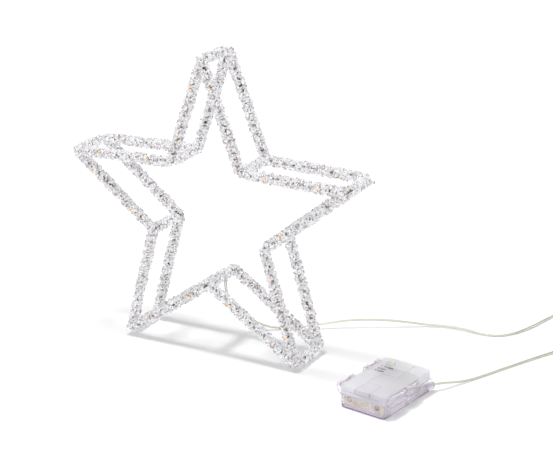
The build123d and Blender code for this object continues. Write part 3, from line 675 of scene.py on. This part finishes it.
class STARLIGHT_OT_stage(bpy.types.Operator):
    """Make the camera, lights, floor and background"""

    bl_idname = "starlight.stage"
    bl_label = "Make Stage"

    def execute(self, context):
        star, _, colours, stage = settings_of(context)
        self.make_camera(context, star, stage)
        self.make_floor(context, colours)
        for lamp in LAMPS:
            self.make_lamp(context, *lamp)
        self.make_world(context)
        return {"FINISHED"}

    def make_camera(self, context, star, stage):
        turn, rise = stage.azimuth, stage.elevation
        right = Vector((cos(turn), sin(turn), 0))
        back = Vector((sin(turn) * cos(rise), -cos(turn) * cos(rise), sin(rise)))
        up = back.cross(right)
        rolled_right = right * cos(stage.roll) + up * sin(stage.roll)
        rolled_up = up * cos(stage.roll) - right * sin(stage.roll)
        target = Vector((VIEW_SHIFT, 0.0, star_height(star) - VIEW_DROP))
        data = bpy.data.cameras.new("camera")
        data.lens = stage.lens
        data.sensor_width = 36.0
        data.clip_start, data.clip_end = 0.05, 50.0
        camera = bpy.data.objects.new("camera", data)
        context.collection.objects.link(camera)
        axes = Matrix((rolled_right, rolled_up, back)).transposed()
        camera.matrix_world = Matrix.Translation(target + back * stage.distance) @ axes.to_4x4()
        context.scene.camera = camera

    def make_floor(self, context, colours):
        reach = FLOOR_REACH
        mesh = bpy.data.meshes.new("floor")
        corners = [(-reach, -reach, 0), (reach, -reach, 0), (reach, reach, 0), (-reach, reach, 0)]
        mesh.from_pydata(corners, [], [(0, 1, 2, 3)])
        floor = bpy.data.objects.new("floor", mesh)
        context.collection.objects.link(floor)
        finish = Finish("floor_paper").set(
            Roughness=0.9, Specular_IOR_Level=0.1, Emission_Color=(1, 1, 1, 1)
        )
        tone = finish.noise(3.0, 2.0)
        finish.colour(tone, (0.3, darker(colours.floor, 0.99)), (0.7, colours.floor))
        away = finish.nodes.new("ShaderNodeVectorMath")
        away.operation = "LENGTH"
        finish.link(finish.place, away.inputs[0])
        share = finish.nodes.new("ShaderNodeMath")
        share.operation = "MULTIPLY"
        finish.link(self.seen_rays(finish.nodes, finish.link), share.inputs[0])
        glow = finish.spread(away.outputs["Value"], *FLOOR_GLOW, *FLOOR_FADE)
        finish.link(glow, share.inputs[1])
        finish.link(share.outputs[0], finish.shader.inputs["Emission Strength"])
        mesh.materials.append(finish.material)

    def seen_rays(self, nodes, link):
        """1 for rays that show the stage itself: straight, mirrored or through clear pieces."""
        path = nodes.new("ShaderNodeLightPath")
        total = path.outputs["Is Camera Ray"]
        for name in ("Is Glossy Ray", "Is Transmission Ray"):
            most = nodes.new("ShaderNodeMath")
            most.operation = "MAXIMUM"
            link(total, most.inputs[0])
            link(path.outputs[name], most.inputs[1])
            total = most.outputs[0]
        return total

    def make_lamp(self, context, name, place, size, power):
        data = bpy.data.lights.new(name, "AREA")
        data.shape = "DISK"
        data.size = size
        data.energy = power
        lamp = bpy.data.objects.new(name, data)
        lamp.location = place
        lamp.rotation_euler = (LAMP_TARGET - place).to_track_quat("-Z", "Y").to_euler()
        context.collection.objects.link(lamp)

    def make_world(self, context):
        world = bpy.data.worlds.new("studio")
        context.scene.world = world
        world.use_nodes = True
        tree = world.node_tree
        background = tree.nodes["Background"]
        background.inputs["Color"].default_value = (1, 1, 1, 1)
        seen = self.seen_rays(tree.nodes, tree.links.new)
        split = tree.nodes.new("ShaderNodeSeparateXYZ")
        direction = tree.nodes.new("ShaderNodeTexCoord").outputs["Generated"]
        tree.links.new(direction, split.inputs["Vector"])
        sky = map_range(tree, split.outputs["Z"], *SKY_GLOW, *SKY_RISE)
        level = map_range(tree, seen, SKY_LIGHT, 1.0)
        tree.links.new(sky.outputs["Result"], level.inputs["To Max"])
        tree.links.new(level.outputs["Result"], background.inputs["Strength"])
        context.scene.view_settings.view_transform = "Standard"


class STARLIGHT_OT_lead(bpy.types.Operator):
    """Make both strands of the lead, from the star's splice to the box's gland"""

    bl_idname = "starlight.lead"
    bl_label = "Make Lead"

    def execute(self, context):
        _, lead, colours, _ = settings_of(context)
        finish = lead_insulation(colours)
        for side, node, size in ((1, "cable_strand_a", 0.708), (-1, "cable_strand_b", 0.702)):
            points = strand_route(lead, side)
            strand = make_curve(f"strand_{node[-1]}", [points], lead.strand / 2, 2, finish)
            strand.data.splines[0].resolution_u = 8
            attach(strand, STAR_BODY)
            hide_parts(node)
        for node in ("lead_tail_a", "lead_tail_b"):
            dress(node, finish)
        return {"FINISHED"}


class STARLIGHT_OT_curls(bpy.types.Operator):
    """Wind clear curls round every bar of the star"""

    bl_idname = "starlight.curls"
    bl_label = "Make Curls"

    def execute(self, context):
        star, _, colours, _ = settings_of(context)
        finish = curl_acrylic(colours)
        for layer, side in ((-1, "front"), (1, "back")):
            for index in range(CORNERS):
                start, end = (star_corner(star, place, layer) for place in (index, index + 1))
                name = f"{side}_curls_{index + 1:02d}"
                curls = self.wind(name, start, end, star.sleeve_radius, star, finish)
                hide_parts(f"{side}_sleeve_{index + 1:02d}")
        for index in range(CORNERS):
            front, back = (star_corner(star, index, layer) for layer in (-1, 1))
            gap = (back - front).normalized() * star.sleeve_radius
            name = f"cross_curls_{index + 1:02d}"
            curls = self.wind(name, front + gap, back - gap, star.cross_sleeve_radius, star, finish)
            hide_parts("notch_cross_sleeves" if index % 2 else "tip_cross_sleeves")
        return {"FINISHED"}

    def wind(self, name, start, end, outer, star, finish):
        strands = [
            curl_strand(start, end, outer, star, f"{name}{turn}", turn * 2 * pi / FILAMENTS)
            for turn in range(FILAMENTS)
        ]
        curls = make_curve(name, strands, star.filament / 2, 1, finish)
        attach(curls, STAR_BODY)
        return curls


class STARLIGHT_OT_wires(bpy.types.Operator):
    """Finish the star's wire outlines, cross rods, LED strings and splice"""

    bl_idname = "starlight.wires"
    bl_label = "Finish Wires and LEDs"

    def execute(self, context):
        colours = context.scene.star_colours
        frame_coat = coated_wire("frame_coat", shade(184, 178, 172), shade(96, 80, 60))
        wire_coat = coated_wire("led_wire_coat", shade(196, 184, 170), shade(104, 72, 38))
        lens = led_resin()
        chip = glowing_chip(colours)
        for side in ("front", "back"):
            dress(f"{side}_wire_frame", frame_coat)
            dress(f"{side}_led_wire", wire_coat)
            dress(f"{side}_leds", lens)
            self.light_up(context, side, chip)
        dress("cross_rods", frame_coat)
        dress("link_wire", wire_coat)
        dress("lead_splice", rubber("clear_shrink", shade(214, 214, 208), shade(188, 188, 180)))
        return {"FINISHED"}

    def light_up(self, context, side, material):
        """Puts a small lit chip in each LED of one outline."""
        star = context.scene.star_sizes
        layer = -1 if side == "front" else 1
        form = bmesh.new()
        for index in range(CORNERS):
            start, end = (star_corner(star, place, layer) for place in (index, index + 1))
            for share in LED_SHARES:
                place = start.lerp(end, share) + Vector((0, layer * star.led_offset, 0))
                bmesh.ops.create_icosphere(
                    form, subdivisions=2, radius=star.chip_radius, matrix=Matrix.Translation(place)
                )
        for face in form.faces:
            face.smooth = True
        mesh = bpy.data.meshes.new(f"{side}_chips")
        form.to_mesh(mesh)
        form.free()
        mesh.materials.append(material)
        chips = bpy.data.objects.new(mesh.name, mesh)
        context.collection.objects.link(chips)
        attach(chips, STAR_BODY)


class STARLIGHT_OT_case(bpy.types.Operator):
    """Finish the battery box, its lid, clips, seal and hinge pins"""

    bl_idname = "starlight.case"
    bl_label = "Finish Battery Box"

    def execute(self, context):
        colours = context.scene.star_colours
        case, edge = colours.case, colours.case_edge
        dress("box_base", clear_case("base_plastic", case, edge, 0.85, 0.05, 0.75))
        dress("box_lid", clear_case("lid_plastic", colours.lid, edge, 0.8, 0.35, 0.9, 0.03))
        clips = clear_case("clip_plastic", case, edge, 0.7, 0.05, 0.65, 0.03)
        for node in ("front_clip", "rear_clip"):
            dress(node, clips)
        seal = rubber("seal_silicone", shade(232, 230, 236), shade(214, 212, 222), 0.5)
        dress("lid_gasket", seal)
        pins = brushed_metal("pin_copper", shade(226, 208, 214), shade(204, 182, 192), 90.0)
        dress("hinge_pins", pins)
        button = rubber("button_silicone", shade(230, 233, 218), shade(220, 224, 206), 0.5)
        dress("button_cap", button)
        self.mark_base(context, colours.case_line)
        self.mark_lid(context)
        self.mark_clips(context)
        gland = rubber("gland_rubber", shade(216, 216, 222), shade(196, 196, 204), 0.8)
        dress("cable_gland", gland)
        return {"FINISHED"}

    def mark_base(self, context, tint):
        """The darker line that clear plastic shows along its bottom edge and up one corner."""
        box = context.scene.star_box
        finish = line_plastic("edge_plastic", tint, darker(tint, 0.9), 0.3, 0.8)
        line = box.edge_line / 2
        sides = (box.width / 2, box.length / 2)
        loop = ring_points(*(side - line for side in sides), box.corner - line, EDGE_BOTTOM)
        corner = [line - side + EDGE_INSET for side in sides]
        upright = [in_box(*corner, z) for z in (EDGE_BOTTOM, EDGE_TOP)]
        bottom = make_curve("base_edge", [loop, upright], line, 2, finish)
        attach(bottom, STAR_BODY)

    def mark_lid(self, context):
        """Darker lines of painted shade in the lid's grooves and notches, and a darker line along
        its front skirt.
        """
        radius = context.scene.star_box.groove_line / 2
        finish = line_plastic("groove_painted_shade", shade(200, 195, 206), shade(184, 178, 190), 0.4)
        strands = [[in_box(*place) for place in route] for route in GROOVES]
        lines = make_curve("groove_shade_lines", strands, radius, 2, finish)
        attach(lines, LID_BODY)

    def mark_clips(self, context):
        """The outline of a panel on each clip."""
        radius = context.scene.star_box.groove_line / 2
        finish = line_plastic("clip_line_plastic", shade(206, 198, 214), shade(172, 158, 186), 0.2)
        for body, middle, width in CLIPS:
            near, far = middle - PANEL_REACH * width, middle + PANEL_REACH * width
            corners = [
                (near, PANEL_BOTTOM),
                (near, PANEL_TOP),
                (far, PANEL_TOP),
                (far, PANEL_BOTTOM),
            ]
            sides = zip(corners, [*corners[1:], corners[0]])
            strands = [[in_box(PANEL_FACE, *end) for end in side] for side in sides]
            panel = make_curve(f"{body}_panel", strands, radius, 2, finish)
            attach(panel, body)


class STARLIGHT_OT_contacts(bpy.types.Operator):
    """Finish the cell contacts, springs and the wires in the box"""

    bl_idname = "starlight.contacts"
    bl_label = "Finish Contacts and Wires"

    def execute(self, context):
        plate = brushed_metal("contact_plate", shade(222, 216, 196), shade(176, 164, 144), 320.0)
        for end in ("front_bridge", "plus", "rear_bridge", "minus"):
            dress(f"{end}_contact", plate)
        self.mark_dimples(context)
        wire = brushed_metal("spring_wire", shade(216, 216, 220), shade(170, 170, 176), 260.0)
        dress("cell_springs", wire)
        insulation = lead_insulation(context.scene.star_colours)
        dress("plus_wire", insulation)
        dress("minus_wire", insulation)
        return {"FINISHED"}

    def mark_dimples(self, context):
        """Dark rings of painted shade round the dimples pressed into the front contacts, and a dark
        bar in one of them.
        """
        box = context.scene.star_box

        def on_plate(x, rise):
            return in_box(x, box.contact_y, box.cell_height + rise)

        # Painted shade: a dark metal colour for the rings and the bar.
        finish = brushed_metal("dimple_painted_shade", shade(84, 72, 64), shade(48, 40, 36), 320.0)
        turns = [2 * pi * step / RIM_SIDES for step in range(RIM_SIDES + 1)]
        shade_rings = [
            [on_plate(x + box.dimple * cos(turn), box.dimple * sin(turn)) for turn in turns]
            for x in (-box.cell_pitch, box.cell_pitch)
        ]
        bar = [on_plate(box.cell_pitch, rise) for rise in RIM_BAR]
        marks = make_curve("dimple_shade_rings", [*shade_rings, bar], RIM_RADIUS, 2, finish)
        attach(marks, STAR_BODY)


class STARLIGHT_OT_timer(bpy.types.Operator):
    """Finish the timer board and what it carries"""

    bl_idname = "starlight.timer"
    bl_label = "Finish Timer Board"

    def execute(self, context):
        black = moulded_plastic("part_black", shade(112, 112, 118), shade(84, 84, 90))
        dress("circuit_board", board_finish())
        for node in ("timer_chip", "board_components", "switch_plunger"):
            dress(node, black)
        grey = moulded_plastic("switch_grey", shade(196, 196, 202), shade(176, 176, 184))
        dress("switch_body", grey)
        zinc = brushed_metal("screw_zinc", shade(204, 204, 210), shade(160, 160, 168), 200.0)
        dress("board_screws", zinc)
        return {"FINISHED"}


class STARLIGHT_OT_lettering(bpy.types.Operator):
    """Raise the small generic words beside the button on the lid"""

    bl_idname = "starlight.lettering"
    bl_label = "Make Lettering"

    def execute(self, context):
        finish = moulded_plastic("letter_ink", shade(66, 64, 70), shade(50, 48, 54))
        turn = Matrix.Rotation(BOX_TURN, 4, "Z")
        for row, words in enumerate(WORDS):
            text = bpy.data.curves.new(f"letters_{words[2:].lower()}", "FONT")
            text.body = words
            text.size = LETTER_SIZE
            text.extrude = LETTER_RELIEF
            text.materials.append(finish)
            letters = bpy.data.objects.new(text.name, text)
            context.collection.objects.link(letters)
            place = in_box(WORDS_X, WORDS_Y - row * WORDS_STEP, WORDS_Z)
            letters.matrix_world = Matrix.Translation(place) @ turn
            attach(letters, LID_BODY)
        return {"FINISHED"}


OPERATORS = (
    STARLIGHT_OT_stage,
    STARLIGHT_OT_lead,
    STARLIGHT_OT_curls,
    STARLIGHT_OT_wires,
    STARLIGHT_OT_case,
    STARLIGHT_OT_contacts,
    STARLIGHT_OT_timer,
    STARLIGHT_OT_lettering,
)
SETTINGS = {
    "star_sizes": StarSettings,
    "star_lead": LeadSettings,
    "star_box": BoxSettings,
    "star_colours": ColourSettings,
    "star_stage": StageSettings,
}


class STARLIGHT_PT_panel(bpy.types.Panel):
    """Lists the steps that dress the star light"""

    bl_idname = "STARLIGHT_PT_panel"
    bl_label = "Star Light"
    bl_space_type = "VIEW_3D"
    bl_region_type = "UI"
    bl_category = "Star Light"

    def draw(self, context):
        for name, group in SETTINGS.items():
            box = self.layout.box()
            box.label(text=group.__doc__)
            for key in group.__annotations__:
                box.prop(getattr(context.scene, name), key)
        for operator in OPERATORS:
            self.layout.operator(operator.bl_idname)


def register():
    for group in SETTINGS.values():
        bpy.utils.register_class(group)
    for name, group in SETTINGS.items():
        setattr(bpy.types.Scene, name, PointerProperty(type=group))
    for operator in OPERATORS:
        bpy.utils.register_class(operator)
    bpy.utils.register_class(STARLIGHT_PT_panel)


def unregister():
    bpy.utils.unregister_class(STARLIGHT_PT_panel)
    for operator in reversed(OPERATORS):
        bpy.utils.unregister_class(operator)
    for name, group in SETTINGS.items():
        delattr(bpy.types.Scene, name)
        bpy.utils.unregister_class(group)


def main():
    register()
    bpy.ops.starlight.stage()
    bpy.ops.starlight.lead()
    bpy.ops.starlight.curls()
    bpy.ops.starlight.wires()
    bpy.ops.starlight.case()
    bpy.ops.starlight.contacts()
    bpy.ops.starlight.timer()
    bpy.ops.starlight.lettering()


if __name__ == "__main__":
    main()
